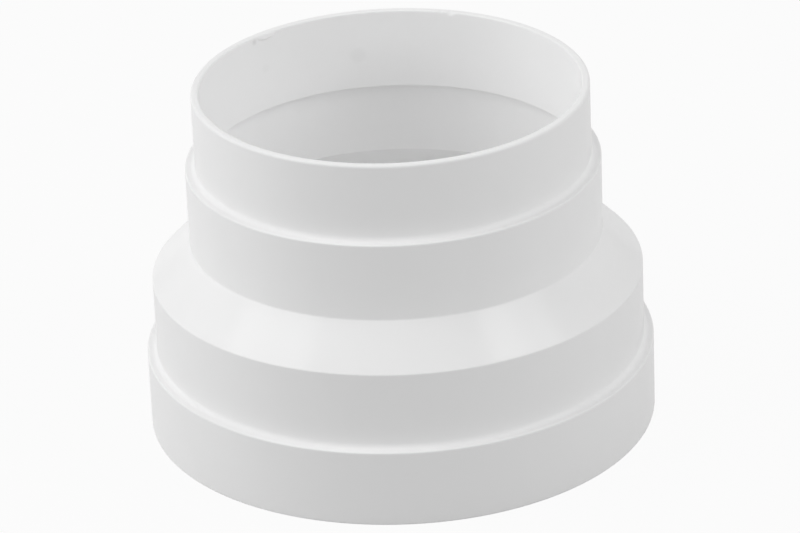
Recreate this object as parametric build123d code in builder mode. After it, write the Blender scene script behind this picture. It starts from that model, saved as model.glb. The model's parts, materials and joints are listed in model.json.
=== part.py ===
"""Duct reducer: one moulded plastic sleeve that joins a wide round duct to a narrower one.

The wide duct slides up into the socket at the bottom until it meets the stop under the lower ledge.
The narrow duct goes over the spigot at the top and comes down to the upper ledge.
The axis is Z, and the origin is at the middle of the bottom rim. Sizes are in millimetres.
"""

import os
from math import hypot

from build123d import *

# The two ducts
small_duct_diameter = 100.0
reduction = 25.0  # how much wider the large duct is
duct_clearance = 0.5  # between a duct and the collar that it slides into, on each side

# Lengths along the axis, from the bottom up
socket_length = 20.0
lower_collar_length = 20.0
cone_height = 10.0
upper_collar_length = 20.0
spigot_length = 20.0

# Wall thicknesses
wall = 2.0  # round stages, measured along the radius
cone_wall = 1.8  # measured square to the cone
ledge_wall = 1.2  # flat ledges, measured along the axis

# Edge rounds
rim_round = 0.5  # outer edge of the top rim
ledge_round = 0.4  # outer edge of each ledge
shoulder_round = 0.5  # where the cone turns down into the lower collar

# Outside radius of each stage: a collar clears the duct that fits its bore, plus its own wall
spigot_radius = small_duct_diameter / 2
upper_collar_radius = spigot_radius + duct_clearance + wall
lower_collar_radius = (small_duct_diameter + reduction) / 2
socket_radius = lower_collar_radius + duct_clearance + wall

# Bore radius of each stage
spigot_bore = spigot_radius - wall
upper_collar_bore = upper_collar_radius - wall
lower_collar_bore = lower_collar_radius - wall
socket_bore = socket_radius - wall

# Heights of the outside, from the bottom up
lower_ledge = socket_length
shoulder = lower_ledge + lower_collar_length
crease = shoulder + cone_height
upper_ledge = crease + upper_collar_length
top = upper_ledge + spigot_length

# The inside of the cone lies parallel to its outside, a cone wall away
cone_width = lower_collar_radius - upper_collar_radius
cone_rise = cone_height / cone_width
cone_drop = cone_wall * hypot(cone_width, cone_height) / cone_width
inner_crease = crease + wall * cone_rise - cone_drop
inner_shoulder = shoulder + wall * cone_rise - cone_drop

# Corners of the wall's section, up the outside and down the inside: radius, height and edge round.
# A round of 0 leaves the corner sharp.
corners = [
    (socket_radius, 0, 0),
    (socket_radius, lower_ledge, ledge_round),
    (lower_collar_radius, lower_ledge, 0),
    (lower_collar_radius, shoulder, shoulder_round),
    (upper_collar_radius, crease, 0),
    (upper_collar_radius, upper_ledge, ledge_round),
    (spigot_radius, upper_ledge, 0),
    (spigot_radius, top, rim_round),
    (spigot_bore, top, 0),
    (spigot_bore, upper_ledge - ledge_wall, 0),
    (upper_collar_bore, upper_ledge - ledge_wall, 0),
    (upper_collar_bore, inner_crease, 0),
    (lower_collar_bore, inner_shoulder, 0),
    (lower_collar_bore, lower_ledge - ledge_wall, 0),
    (socket_bore, lower_ledge - ledge_wall, 0),
    (socket_bore, 0, 0),
]

with BuildPart() as reducer_body:
    with BuildSketch(Plane.XZ):
        with BuildLine():
            FilletPolyline(
                [(radius, height) for radius, height, _ in corners],
                radius=[edge_round for _, _, edge_round in corners],
                close=True,
            )
        make_face()
    revolve(axis=Axis.Z)

reducer_body.part.label = "reducer_body"
os.makedirs("parts", exist_ok=True)
export_step(reducer_body.part, "parts/reducer_body.step")
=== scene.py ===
"""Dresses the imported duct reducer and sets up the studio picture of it.

The reducer is one sleeve of white plastic, injection-moulded, so it is one mesh: a section turned about
the duct axis, with the rounds that the mould gives each edge and the marks left where the rim was trimmed.
Lengths are in metres, in the frame's own axes: +Z is the duct axis and the bottom rim stands on z = 0.
"""

import json
import logging
from dataclasses import dataclass
from enum import Enum
from math import atan2, cos, hypot, pi, radians, remainder, sin, tan
from typing import NamedTuple

import bpy
from mathutils import Matrix, Vector, noise


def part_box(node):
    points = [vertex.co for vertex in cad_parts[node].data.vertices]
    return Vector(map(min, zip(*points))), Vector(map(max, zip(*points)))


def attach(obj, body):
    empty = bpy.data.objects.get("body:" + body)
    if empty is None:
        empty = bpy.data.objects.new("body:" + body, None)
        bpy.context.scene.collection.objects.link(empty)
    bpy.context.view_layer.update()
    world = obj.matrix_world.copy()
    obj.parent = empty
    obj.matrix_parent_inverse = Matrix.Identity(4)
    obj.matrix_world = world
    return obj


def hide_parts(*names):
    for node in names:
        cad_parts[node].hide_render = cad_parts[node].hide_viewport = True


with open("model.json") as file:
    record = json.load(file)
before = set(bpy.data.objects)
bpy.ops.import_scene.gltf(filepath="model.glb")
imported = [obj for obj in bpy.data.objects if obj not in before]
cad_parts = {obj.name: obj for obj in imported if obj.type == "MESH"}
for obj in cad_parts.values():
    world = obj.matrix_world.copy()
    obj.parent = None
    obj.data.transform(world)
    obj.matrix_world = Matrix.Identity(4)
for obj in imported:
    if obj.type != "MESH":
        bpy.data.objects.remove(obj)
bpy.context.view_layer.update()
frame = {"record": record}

log = logging.getLogger("duct_reducer")

MM = 0.001
WHITE = (1.0, 1.0, 1.0, 1.0)

# The sRGB curve: a straight foot up to the knee, and a power law above it
SRGB_KNEE = 0.04045
SRGB_FOOT = 12.92
SRGB_OFFSET = 0.055
SRGB_POWER = 2.4


def linear(hex_colour: str) -> tuple[float, float, float, float]:
    """Turns an sRGB hex colour into linear red, green, blue and alpha.

    Args:
        hex_colour: Six hex digits after a hash sign.

    Returns:
        The colour as the shader sockets take it.
    """
    shares = [int(hex_colour[i : i + 2], 16) / 255 for i in (1, 3, 5)]
    red, green, blue = (
        share / SRGB_FOOT
        if share <= SRGB_KNEE
        else ((share + SRGB_OFFSET) / (1 + SRGB_OFFSET)) ** SRGB_POWER
        for share in shares
    )
    return red, green, blue, 1.0


def add_node(
    tree: bpy.types.NodeTree,
    kind: str,
    inputs: dict[str | int, object] | None = None,
    **settings: object,
) -> bpy.types.Node:
    """Adds a node to a shader or geometry tree.

    Args:
        tree: The tree that takes the node.
        kind: The node's type name.
        inputs: For each input socket, by name or number, its value or the output socket that feeds it.
        settings: The node's own properties.

    Returns:
        The new node.
    """
    node = tree.nodes.new(kind)
    for name, value in settings.items():
        setattr(node, name, value)
    for key, value in (inputs or {}).items():
        if isinstance(value, bpy.types.NodeSocket):
            tree.links.new(value, node.inputs[key])
        else:
            node.inputs[key].default_value = value
    return node


def link_object(name: str, data: bpy.types.ID) -> bpy.types.Object:
    """Puts a mesh, curve, light or camera into the scene as an object at the origin.

    Args:
        name: The object's name.
        data: Its mesh, curve, light or camera.

    Returns:
        The new object.
    """
    made = bpy.data.objects.new(name, data)
    bpy.context.scene.collection.objects.link(made)
    return made


def smooth_step(share: float) -> float:
    """Eases a share from 0 to 1, flat at both ends."""
    held = min(max(share, 0.0), 1.0)
    return held * held * (3 - 2 * held)


class BoreSpot(NamedTuple):
    """A round spot on the bore: its angle, height, width and colour, and how far its edge fades."""

    angle: float
    height: float
    width: float
    colour: str
    fade: float


@dataclass(frozen=True)
class MouldedPvc:
    """White rigid PVC, injection-moulded in a steel tool that was turned and then blasted.

    To the eye it is a clean white with a satin sheen. A fine grain breaks up the highlights, faint rings
    from the turning run round every face, and the bore has dull round spots from the ejector pins.
    """

    name: str = "white_pvc_moulded_satin"
    colour: str = "#F8F8F8"
    shade: str = "#F6F6F6"
    ior: float = 1.53
    skin: float = 0.33  # share of the moulded skin that shines: the blasted grain makes the rest matte
    skin_swing: float = 0.03
    roughness: float = 0.16
    roughness_swing: float = 0.02
    cloud_width: float = 14 * MM
    cloud_detail: float = 3.0
    grain_width: float = 0.5 * MM  # coarser than the blasted grain, which is too fine to show
    grain_height: float = 0.01 * MM
    ring_pitch: float = 0.8 * MM  # coarser than the turning's feed, which is too fine to show
    ring_share: float = 0.5  # height of the rings as a share of the grain's
    relief_detail: float = 2.0
    # The first two spots are from ejector pins, and the third is a darker spot laid over the nick at the
    # rim
    spots: tuple[BoreSpot, ...] = (
        BoreSpot(radians(99.6), 78.1 * MM, 5.2 * MM, "#F4F4F4", 1.2 * MM),
        BoreSpot(radians(131.6), 80.3 * MM, 3.0 * MM, "#F5F5F5", 0.8 * MM),
        BoreSpot(radians(135.8), 88.7 * MM, 2.0 * MM, "#E1E1E1", 1.2 * MM),
    )

    def material(self, bore: float) -> bpy.types.Material:
        """Builds the plastic's node material.

        Args:
            bore: The radius of the bore that has the spots.

        Returns:
            The material, ready for a mesh.
        """
        made = bpy.data.materials.new(self.name)
        made.use_nodes = True
        tree = made.node_tree
        shader = tree.nodes["Principled BSDF"]
        shader.inputs["IOR"].default_value = self.ior
        shader.inputs["Specular IOR Level"].default_value = 0.0
        shader.inputs["Coat IOR"].default_value = self.ior
        shader.inputs["Coat Roughness"].default_value = self.roughness
        place = add_node(tree, "ShaderNodeTexCoord").outputs["Object"]
        cloud = add_node(
            tree,
            "ShaderNodeTexNoise",
            {"Vector": place, "Scale": 1 / self.cloud_width, "Detail": self.cloud_detail},
        ).outputs["Fac"]
        tint = add_node(
            tree,
            "ShaderNodeMix",
            {"Factor": cloud, 6: linear(self.shade), 7: linear(self.colour)},
            data_type="RGBA",
        ).outputs[2]
        for spot in self.spots:
            centre = (bore * cos(spot.angle), bore * sin(spot.angle), spot.height)
            away = add_node(tree, "ShaderNodeVectorMath", {0: place, 1: centre}, operation="DISTANCE")
            cover = add_node(
                tree,
                "ShaderNodeMapRange",
                {
                    "Value": away.outputs["Value"],
                    "From Min": spot.width / 2,
                    "From Max": spot.width / 2 - spot.fade,
                },
            )
            tint = add_node(
                tree,
                "ShaderNodeMix",
                {"Factor": cover.outputs["Result"], 6: tint, 7: linear(spot.colour)},
                data_type="RGBA",
            ).outputs[2]
        tree.links.new(tint, shader.inputs["Base Color"])
        gloss = add_node(
            tree,
            "ShaderNodeMapRange",
            {
                "Value": cloud,
                "To Min": self.roughness - self.roughness_swing,
                "To Max": self.roughness + self.roughness_swing,
            },
        )
        tree.links.new(gloss.outputs["Result"], shader.inputs["Roughness"])
        shine = add_node(
            tree,
            "ShaderNodeMapRange",
            {"Value": cloud, "To Min": self.skin + self.skin_swing, "To Max": self.skin - self.skin_swing},
        )
        tree.links.new(shine.outputs["Result"], shader.inputs["Coat Weight"])
        grain = add_node(
            tree,
            "ShaderNodeTexNoise",
            {"Vector": place, "Scale": 1 / self.grain_width, "Detail": self.relief_detail},
        ).outputs["Fac"]
        level = add_node(tree, "ShaderNodeVectorMath", {0: place, 1: (1, 1, 0)}, operation="MULTIPLY")
        radius = add_node(tree, "ShaderNodeVectorMath", {0: level.outputs[0]}, operation="LENGTH")
        height = add_node(tree, "ShaderNodeSeparateXYZ", {"Vector": place}).outputs["Z"]
        across = add_node(
            tree, "ShaderNodeMath", {0: radius.outputs["Value"], 1: height}, operation="SUBTRACT"
        )
        rings = add_node(
            tree,
            "ShaderNodeTexNoise",
            {"W": across.outputs[0], "Scale": 1 / self.ring_pitch, "Detail": self.relief_detail},
            noise_dimensions="1D",
        ).outputs["Fac"]
        relief = add_node(
            tree, "ShaderNodeMath", {0: rings, 1: self.ring_share, 2: grain}, operation="MULTIPLY_ADD"
        )
        bump = add_node(
            tree, "ShaderNodeBump", {"Height": relief.outputs[0], "Distance": self.grain_height}
        )
        tree.links.new(bump.outputs["Normal"], shader.inputs["Normal"])
        tree.links.new(bump.outputs["Normal"], shader.inputs["Coat Normal"])
        return made


@dataclass(frozen=True)
class PaperFloor:
    """Pale grey studio paper, calendered: matte and even, with a faint fibre that takes off the flatness.

    The eye, and whatever mirrors the paper, sees it mostly as plain white. The rest shows the shadow.
    """

    name: str = "pale_grey_studio_paper"
    colour: str = "#BCBCBC"
    shade: str = "#BABABA"
    roughness: float = 0.9
    fibre_width: float = 3 * MM  # coarser than paper fibre, which is too fine to show
    white_share: float = 0.94

    def material(self) -> bpy.types.Material:
        """Builds the paper's node material.

        Returns:
            The material, ready for the floor.
        """
        made = bpy.data.materials.new(self.name)
        made.use_nodes = True
        tree = made.node_tree
        paper = tree.nodes["Principled BSDF"]
        paper.inputs["Roughness"].default_value = self.roughness
        paper.inputs["Specular IOR Level"].default_value = 0.0
        place = add_node(tree, "ShaderNodeTexCoord").outputs["Object"]
        fibre = add_node(tree, "ShaderNodeTexNoise", {"Vector": place, "Scale": 1 / self.fibre_width})
        tint = add_node(
            tree,
            "ShaderNodeMix",
            {"Factor": fibre.outputs["Fac"], 6: linear(self.shade), 7: linear(self.colour)},
            data_type="RGBA",
        )
        tree.links.new(tint.outputs[2], paper.inputs["Base Color"])
        rays = add_node(tree, "ShaderNodeLightPath").outputs
        mirrored = add_node(
            tree,
            "ShaderNodeMath",
            {0: rays["Is Glossy Ray"], 1: rays["Is Transmission Ray"]},
            operation="MAXIMUM",
        )
        seen = add_node(
            tree, "ShaderNodeMath", {0: rays["Is Camera Ray"], 1: mirrored.outputs[0]}, operation="MAXIMUM"
        )
        share = add_node(
            tree, "ShaderNodeMath", {0: seen.outputs[0], 1: self.white_share}, operation="MULTIPLY"
        )
        white = add_node(tree, "ShaderNodeEmission", {"Color": WHITE, "Strength": 1.0})
        ground = add_node(
            tree,
            "ShaderNodeMixShader",
            {"Fac": share.outputs[0], 1: paper.outputs["BSDF"], 2: white.outputs["Emission"]},
        )
        tree.links.new(ground.outputs["Shader"], tree.nodes["Material Output"].inputs["Surface"])
        return made


class Corner(NamedTuple):
    """A corner of the wall's section: its radius, its height and the round on it."""

    radius: float
    height: float
    edge_round: float


class MarkKind(Enum):
    """How the rim was marked when the moulding was trimmed."""

    SLICE = "a knife cut that slants the inner edge"
    BURR = "plastic smeared down from the inner edge, with a sharp lower lip"
    NICK = "a dent in the bore, just under the edge"


@dataclass(frozen=True)
class RimMark:
    """One mark on the inner edge of the top rim.

    The angle is measured from +X towards +Y and the length along the rim. The depth goes into the wall, or
    for a burr stands out of it, and the drop goes down from the rim, for a nick to its middle.
    """

    kind: MarkKind
    angle: float
    length: float
    depth: float
    drop: float
    run_out: float = 1.2 * MM
    wave: float = 1.5 * MM
    unevenness: float = 0.35

    def shift(self, angle: float, bore: float, into: float, under: float) -> tuple[float, float]:
        """Works out how far the mark moves a point of the rim.

        Args:
            angle: The point's angle.
            bore: The radius of the bore.
            into: How far the point lies into the wall from the bore.
            under: How far the point lies under the rim.

        Returns:
            The distance outwards and the distance down.
        """
        along = bore * abs(remainder(angle - self.angle, 2 * pi))
        if self.kind is MarkKind.NICK:
            reach = hypot(along, under - self.drop, into)
            return self.depth * smooth_step(1 - 2 * reach / self.length), 0.0
        if along >= self.length / 2:
            return 0.0, 0.0
        ripple = noise.noise(Vector((bore * angle / self.wave, 0.0, 0.0)))
        fade = smooth_step((self.length / 2 - along) / min(self.run_out, self.length / 2))
        depth, drop = (size * fade * (1 + self.unevenness * ripple) for size in (self.depth, self.drop))
        if self.kind is MarkKind.BURR:
            return (-depth * under / drop, 0.0) if under < drop else (0.0, 0.0)
        taken = max(0.0, 1 - into / depth - under / drop) / (depth**-2 + drop**-2)
        return taken / depth, taken / drop


RIM_MARKS = (
    RimMark(MarkKind.BURR, radians(131.0), 6.4 * MM, 0.35 * MM, 1.4 * MM),
    RimMark(MarkKind.BURR, radians(130.6), 2.6 * MM, 0.3 * MM, 1.8 * MM),
    RimMark(MarkKind.NICK, radians(135.8), 1.5 * MM, 0.10 * MM, 1.3 * MM),
    RimMark(MarkKind.SLICE, radians(73.4), 1.5 * MM, 0.5 * MM, 0.8 * MM),
    RimMark(MarkKind.SLICE, radians(70.1), 3.2 * MM, 0.7 * MM, 1.0 * MM),
    RimMark(MarkKind.SLICE, radians(-43.0), 3.5 * MM, 0.25 * MM, 0.25 * MM),
    RimMark(MarkKind.SLICE, radians(-37.5), 3.0 * MM, 0.35 * MM, 0.35 * MM),
)


@dataclass(frozen=True)
class ReducerBody:
    """The moulded sleeve: its section's sizes, its mesh and its finish."""

    top: float
    socket_radius: float
    socket_bore: float
    spigot_radius: float
    upper_ledge: float
    lower_stop: float
    duct_clearance: float = 0.5 * MM
    lower_collar_length: float = 20 * MM
    cone_height: float = 10 * MM
    cone_wall: float = 1.8 * MM
    ledge_wall: float = 1.2 * MM
    rim_round: float = 0.7 * MM
    bore_round: float = 0.45 * MM
    ledge_round: float = 0.4 * MM
    shoulder_round: float = 0.5 * MM
    ledge_root: float = 1.1 * MM  # where the wall above meets a ledge
    crease_round: float = 0.6 * MM
    root_round: float = 0.25 * MM
    inner_round: float = 0.2 * MM
    bottom_round: float = 0.3 * MM
    turn_segments: int = 720
    round_segments: int = 3
    flat_margin: float = 0.12 * MM  # from the end of a round to the point that keeps the next face flat
    marked_depth: float = 2.8 * MM  # how far under the rim the knife reached
    marked_spacing: float = 0.2 * MM

    @classmethod
    def from_frame(cls) -> "ReducerBody":
        """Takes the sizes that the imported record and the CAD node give.

        Returns:
            The sleeve with those sizes.
        """
        mounts = {mount["name"]: mount for mount in frame["record"]["mounts"]}
        _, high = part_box("reducer_body")
        return cls(
            top=high.z,
            socket_radius=high.x,
            socket_bore=mounts["large_socket"]["dims"]["r_mm"] * MM,
            spigot_radius=mounts["small_spigot"]["dims"]["r_mm"] * MM,
            upper_ledge=mounts["small_duct_stop"]["pos_m"][2],
            lower_stop=mounts["large_duct_stop"]["pos_m"][2],
        )

    @property
    def wall(self) -> float:
        """The wall's thickness, along the radius."""
        return self.socket_radius - self.socket_bore

    @property
    def spigot_bore(self) -> float:
        """The radius inside the narrow end."""
        return self.spigot_radius - self.wall

    def corners(self) -> list[Corner]:
        """Works out the section's corners, up the outside and down the inside.

        Returns:
            The corners in order round the section.
        """
        upper_collar = self.spigot_radius + self.duct_clearance + self.wall
        lower_collar = self.socket_bore - self.duct_clearance
        lower_ledge = self.lower_stop + self.ledge_wall
        upper_step = self.upper_ledge - self.ledge_wall
        shoulder = lower_ledge + self.lower_collar_length
        crease = shoulder + self.cone_height
        cone_width = lower_collar - upper_collar
        rise = self.cone_height / cone_width
        drop = self.cone_wall * hypot(cone_width, self.cone_height) / cone_width - self.wall * rise
        return [
            Corner(self.socket_radius, 0, self.bottom_round),
            Corner(self.socket_radius, lower_ledge, self.ledge_round),
            Corner(lower_collar, lower_ledge, self.ledge_root),
            Corner(lower_collar, shoulder, self.shoulder_round),
            Corner(upper_collar, crease, self.crease_round),
            Corner(upper_collar, self.upper_ledge, self.ledge_round),
            Corner(self.spigot_radius, self.upper_ledge, self.ledge_root),
            Corner(self.spigot_radius, self.top, self.rim_round),
            Corner(self.spigot_bore, self.top, self.bore_round),
            Corner(self.spigot_bore, self.top - self.marked_depth, 0),
            Corner(self.spigot_bore, upper_step, self.inner_round),
            Corner(upper_collar - self.wall, upper_step, self.root_round),
            Corner(upper_collar - self.wall, crease - drop, self.inner_round),
            Corner(lower_collar - self.wall, shoulder - drop, self.root_round),
            Corner(lower_collar - self.wall, self.lower_stop, self.inner_round),
            Corner(self.socket_bore, self.lower_stop, self.root_round),
            Corner(self.socket_bore, 0, self.bottom_round),
        ]

    def section_points(self) -> list[Corner]:
        """Puts a point just before and just after each round, so that the faces between stay flat.

        Returns:
            The section's points in order, of which only the corners have a round.
        """
        corners = self.corners()
        points = []
        for before, corner, after in zip(corners[-1:] + corners, corners, corners[1:] + corners[:1]):
            if not corner.edge_round:
                points.append(corner)
                continue
            here = Vector((corner.radius, corner.height))
            back = (Vector((before.radius, before.height)) - here).normalized()
            on = (Vector((after.radius, after.height)) - here).normalized()
            reach = corner.edge_round / tan(back.angle(on) / 2) + self.flat_margin
            points.append(Corner(*(here + back * reach), 0.0))
            points.append(corner)
            points.append(Corner(*(here + on * reach), 0.0))
        return points

    def section_curve(self) -> bpy.types.Object:
        """Draws the section as a closed line, with each corner's round as its point radius.

        The section hangs below its own X axis, because a turned profile's Y axis points down.

        Returns:
            The curve object.
        """
        curve = bpy.data.curves.new("reducer_section", "CURVE")
        points = self.section_points()
        line = curve.splines.new("POLY")
        line.points.add(len(points) - 1)
        line.use_cyclic_u = True
        for drawn, point in zip(line.points, points):
            drawn.co = (point.radius - self.spigot_radius, -point.height, 0, 1)
            drawn.radius = point.edge_round
        return link_object("reducer_section", curve)

    def turning_tree(self, finish: bpy.types.Material) -> tuple[bpy.types.NodeTree, dict[str, object]]:
        """Builds the tree that rounds the section and turns it about the axis.

        Args:
            finish: The material that the turned wall gets.

        Returns:
            The tree, and the value of each of its named inputs.
        """
        tree = bpy.data.node_groups.new("turned_sleeve", "GeometryNodeTree")
        tree.interface.new_socket("Section", in_out="INPUT", socket_type="NodeSocketGeometry")
        tree.interface.new_socket("Sleeve", in_out="OUTPUT", socket_type="NodeSocketGeometry")
        values = {
            "Path Radius": self.spigot_radius,
            "Rim Height": self.top,
            "Marked Depth": self.marked_depth + self.flat_margin,
            "Marked Spacing": self.marked_spacing,
            "Round Segments": self.round_segments,
            "Turn Segments": self.turn_segments,
        }
        for name, value in values.items():
            kind = "NodeSocketInt" if isinstance(value, int) else "NodeSocketFloat"
            tree.interface.new_socket(name, in_out="INPUT", socket_type=kind)
        given = add_node(tree, "NodeGroupInput").outputs

        rounded = add_node(
            tree,
            "GeometryNodeFilletCurve",
            {
                "Curve": given["Section"],
                "Count": given["Round Segments"],
                "Radius": add_node(tree, "GeometryNodeInputRadius").outputs["Radius"],
            },
            mode="POLY",
        )
        here = add_node(tree, "GeometryNodeInputPosition").outputs["Position"]
        after = add_node(
            tree,
            "GeometryNodeOffsetPointInCurve",
            {"Point Index": add_node(tree, "GeometryNodeInputIndex").outputs["Index"], "Offset": 1},
        )
        there = add_node(
            tree,
            "GeometryNodeFieldAtIndex",
            {"Index": after.outputs["Point Index"], "Value": here},
            data_type="FLOAT_VECTOR",
            domain="POINT",
        ).outputs["Value"]
        run = add_node(
            tree, "ShaderNodeVectorMath", {0: here, 1: there}, operation="DISTANCE"
        ).outputs["Value"]
        lower = add_node(tree, "ShaderNodeVectorMath", {0: here, 1: there}, operation="MAXIMUM").outputs[0]
        depth = add_node(tree, "ShaderNodeSeparateXYZ", {"Vector": lower}).outputs["Y"]
        under = add_node(
            tree, "ShaderNodeMath", {0: given["Rim Height"], 1: depth}, operation="ADD"
        ).outputs[0]
        at_rim = add_node(
            tree, "ShaderNodeMath", {0: under, 1: given["Marked Depth"]}, operation="LESS_THAN"
        ).outputs[0]
        share = add_node(
            tree, "ShaderNodeMath", {0: run, 1: given["Marked Spacing"]}, operation="DIVIDE"
        ).outputs[0]
        cuts = add_node(tree, "ShaderNodeMath", {0: share, 1: at_rim}, operation="MULTIPLY").outputs[0]
        divided = add_node(
            tree, "GeometryNodeSubdivideCurve", {"Curve": rounded.outputs["Curve"], "Cuts": cuts}
        )
        path = add_node(
            tree,
            "GeometryNodeCurvePrimitiveCircle",
            {"Resolution": given["Turn Segments"], "Radius": given["Path Radius"]},
            mode="RADIUS",
        )
        level = add_node(
            tree, "GeometryNodeSetCurveNormal", {"Curve": path.outputs["Curve"]}, mode="Z_UP"
        )
        turned = add_node(
            tree,
            "GeometryNodeCurveToMesh",
            {"Curve": level.outputs["Curve"], "Profile Curve": divided.outputs["Curve"]},
        )
        outside = add_node(tree, "GeometryNodeFlipFaces", {"Mesh": turned.outputs["Mesh"]})
        smooth = add_node(tree, "GeometryNodeSetShadeSmooth", {"Geometry": outside.outputs["Mesh"]})
        whole = add_node(tree, "GeometryNodeRealizeInstances", {"Geometry": smooth.outputs["Geometry"]})
        coated = add_node(
            tree, "GeometryNodeSetMaterial", {"Geometry": whole.outputs["Geometry"], "Material": finish}
        )
        add_node(tree, "NodeGroupOutput", {"Sleeve": coated.outputs["Geometry"]})
        return tree, values

    def mark_rim(self, mesh: bpy.types.Mesh) -> None:
        """Cuts and dents the inner edge of the rim, as the trimming knife did.

        Args:
            mesh: The turned wall, which is changed.
        """
        for vertex in mesh.vertices:
            outward = Vector((vertex.co.x, vertex.co.y, 0))
            into, under = outward.length - self.spigot_bore, self.top - vertex.co.z
            if under > self.marked_depth or into > self.wall / 2:
                continue
            angle = atan2(outward.y, outward.x)
            shifts = [mark.shift(angle, self.spigot_bore, into, under) for mark in RIM_MARKS]
            outs, downs = zip(*shifts)
            vertex.co += outward.normalized() * (max(outs) + min(outs)) - Vector((0, 0, max(downs)))

    def build(self, finish: bpy.types.Material) -> bpy.types.Object:
        """Turns the section into the sleeve's mesh.

        Args:
            finish: The material that the mesh gets.

        Returns:
            The sleeve, as a plain mesh at the origin.
        """
        source = self.section_curve()
        tree, values = self.turning_tree(finish)
        turning = source.modifiers.new("turning", "NODES")
        turning.node_group = tree
        for socket in tree.interface.items_tree:
            if socket.name in values:
                turning[socket.identifier] = values[socket.name]
        graph = bpy.context.evaluated_depsgraph_get()
        mesh = bpy.data.meshes.new_from_object(source.evaluated_get(graph))
        bpy.data.objects.remove(source)
        self.mark_rim(mesh)
        mesh.name = "reducer_sleeve"
        return link_object("reducer_sleeve", mesh)


class LampPlace(Enum):
    """Where a softbox hangs, in degrees: its azimuth from the camera towards +X, and its elevation."""

    LEFT_STRIP = (-80, 47)
    LEFT_KEY = (-68, 24)
    LEFT_LOW = (-105, 12)
    LEFT_SIDE = (-105, 34)
    LEFT_TOP = (-100, 66)
    LEFT_REAR = (-119, 24)
    RIGHT_EDGE = (65, 51)
    RIGHT_STRIP = (75, 48)
    RIGHT_KEY = (69, 27)
    UNDER = (0, -90)


@dataclass(frozen=True)
class Softbox:
    """A panel of diffused light that faces the object, turned by its roll about the line to it."""

    place: LampPlace
    width: float
    height: float
    radiance: float
    roll: float = 0.0
    distance: float = 1.3

    def build(self, aim: Vector) -> bpy.types.Object:
        """Hangs the softbox.

        Args:
            aim: The point that it faces.

        Returns:
            The light's object.
        """
        name = self.place.name.lower() + "_softbox"
        light = bpy.data.lights.new(name, "AREA")
        light.shape = "RECTANGLE"
        light.size, light.size_y = self.width, self.height
        light.energy = self.radiance * pi * self.width * self.height
        made = link_object(name, light)
        azimuth, elevation = (radians(angle) for angle in self.place.value)
        level = Vector((sin(azimuth), -cos(azimuth), 0)) * cos(elevation)
        away = level + Vector((0, 0, sin(elevation)))
        turn = away.to_track_quat("Z", "Y").to_matrix().to_4x4() @ Matrix.Rotation(self.roll, 4, "Z")
        made.matrix_world = Matrix.Translation(aim + away * self.distance) @ turn
        made.visible_camera = False
        return made


@dataclass(frozen=True)
class PhotoCamera:
    """The camera that took the picture: a long lens, raised and rolled a little."""

    lens_mm: float = 196.61
    distance: float = 1114.5 * MM
    elevation: float = radians(25.62)
    roll: float = radians(-2.39)
    aim: tuple[float, float, float] = (0.61 * MM, 0.0, 39.19 * MM)

    def build(self) -> bpy.types.Object:
        """Sets the camera up and makes it the scene's own.

        Returns:
            The camera's object.
        """
        data = bpy.data.cameras.new("photo_camera")
        data.lens = self.lens_mm
        camera = link_object("photo_camera", data)
        forward = Vector((0, cos(self.elevation), -sin(self.elevation)))
        level_up = Vector((1, 0, 0)).cross(forward)
        right = cos(self.roll) * Vector((1, 0, 0)) + sin(self.roll) * level_up
        turn = Matrix((right, right.cross(forward), -forward)).transposed()
        place = Vector(self.aim) - forward * self.distance
        camera.matrix_world = Matrix.Translation(place) @ turn.to_4x4()
        bpy.context.scene.camera = camera
        return camera


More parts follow.
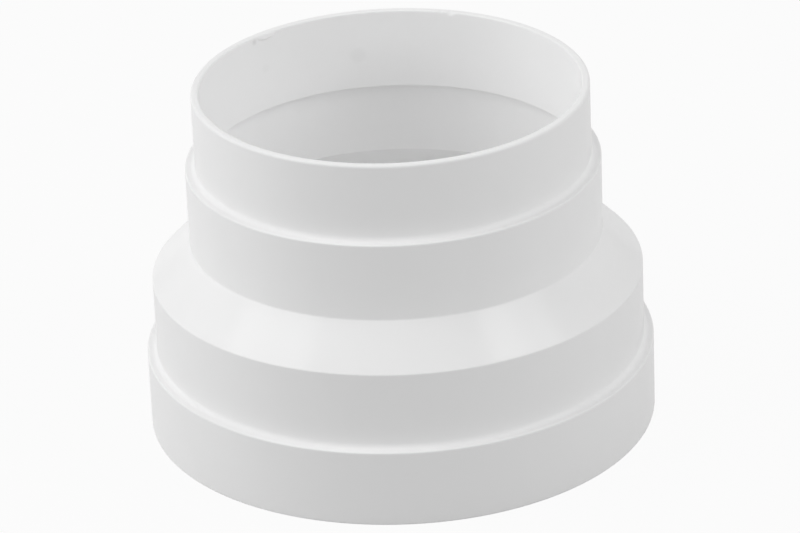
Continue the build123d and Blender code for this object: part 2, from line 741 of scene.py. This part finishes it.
@dataclass(frozen=True)
class Studio:
    """The paper floor, the softboxes round it and the room's own light."""

    floor_width: float = 12.0
    floor_gap: float = 0.02 * MM  # keeps the floor's face apart from the part's bottom rim
    room_light: float = 0.49
    # The last one lies on the floor inside the sleeve, for the light that the paper throws back up
    softboxes: tuple[Softbox, ...] = (
        Softbox(LampPlace.LEFT_STRIP, 0.73, 0.15, 3.9, radians(32)),
        Softbox(LampPlace.LEFT_KEY, 0.8, 0.6, 2.35),
        Softbox(LampPlace.LEFT_LOW, 0.7, 0.5, 0.75),
        Softbox(LampPlace.LEFT_SIDE, 0.6, 0.5, 0.85),
        Softbox(LampPlace.LEFT_TOP, 0.6, 0.5, 1.7),
        Softbox(LampPlace.LEFT_REAR, 1.1, 0.15, 0.35, radians(38)),
        Softbox(LampPlace.RIGHT_EDGE, 0.3, 0.15, 2.3, radians(-28)),
        Softbox(LampPlace.RIGHT_STRIP, 0.63, 0.15, 3.1, radians(-30)),
        Softbox(LampPlace.RIGHT_KEY, 0.7, 0.65, 2.55),
        Softbox(LampPlace.UNDER, 0.08, 0.08, 0.64, distance=0.043),
    )

    def build(self, aim: Vector) -> bpy.types.Object:
        """Lays the floor and lights it.

        Args:
            aim: The point that the softboxes face.

        Returns:
            The floor.
        """
        half, low = self.floor_width / 2, -self.floor_gap
        corners = [(-half, -half, low), (half, -half, low), (half, half, low), (-half, half, low)]
        mesh = bpy.data.meshes.new("paper_floor")
        mesh.from_pydata(corners, [], [(0, 1, 2, 3)])
        mesh.materials.append(PaperFloor().material())
        floor = link_object("paper_floor", mesh)
        for softbox in self.softboxes:
            softbox.build(aim)
        world = bpy.data.worlds.new("studio_room")
        world.use_nodes = True
        room = world.node_tree.nodes["Background"]
        room.inputs["Color"].default_value = WHITE
        room.inputs["Strength"].default_value = self.room_light
        bpy.context.scene.world = world
        return floor


def main() -> None:
    """Builds the reducer, the studio and the camera, and notes the size of what is shown."""
    logging.basicConfig(level=logging.INFO, format="%(name)s: %(message)s")
    body = ReducerBody.from_frame()
    sleeve = body.build(MouldedPvc().material(body.spigot_bore))
    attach(sleeve, "root")
    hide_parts("reducer_body")
    log.info("%s: %d faces", sleeve.name, len(sleeve.data.polygons))

    camera = PhotoCamera()
    camera.build()
    floor = Studio().build(Vector((0, 0, body.top / 2)))
    bpy.context.scene.view_settings.view_transform = "Standard"


if __name__ == "__main__":
    main()
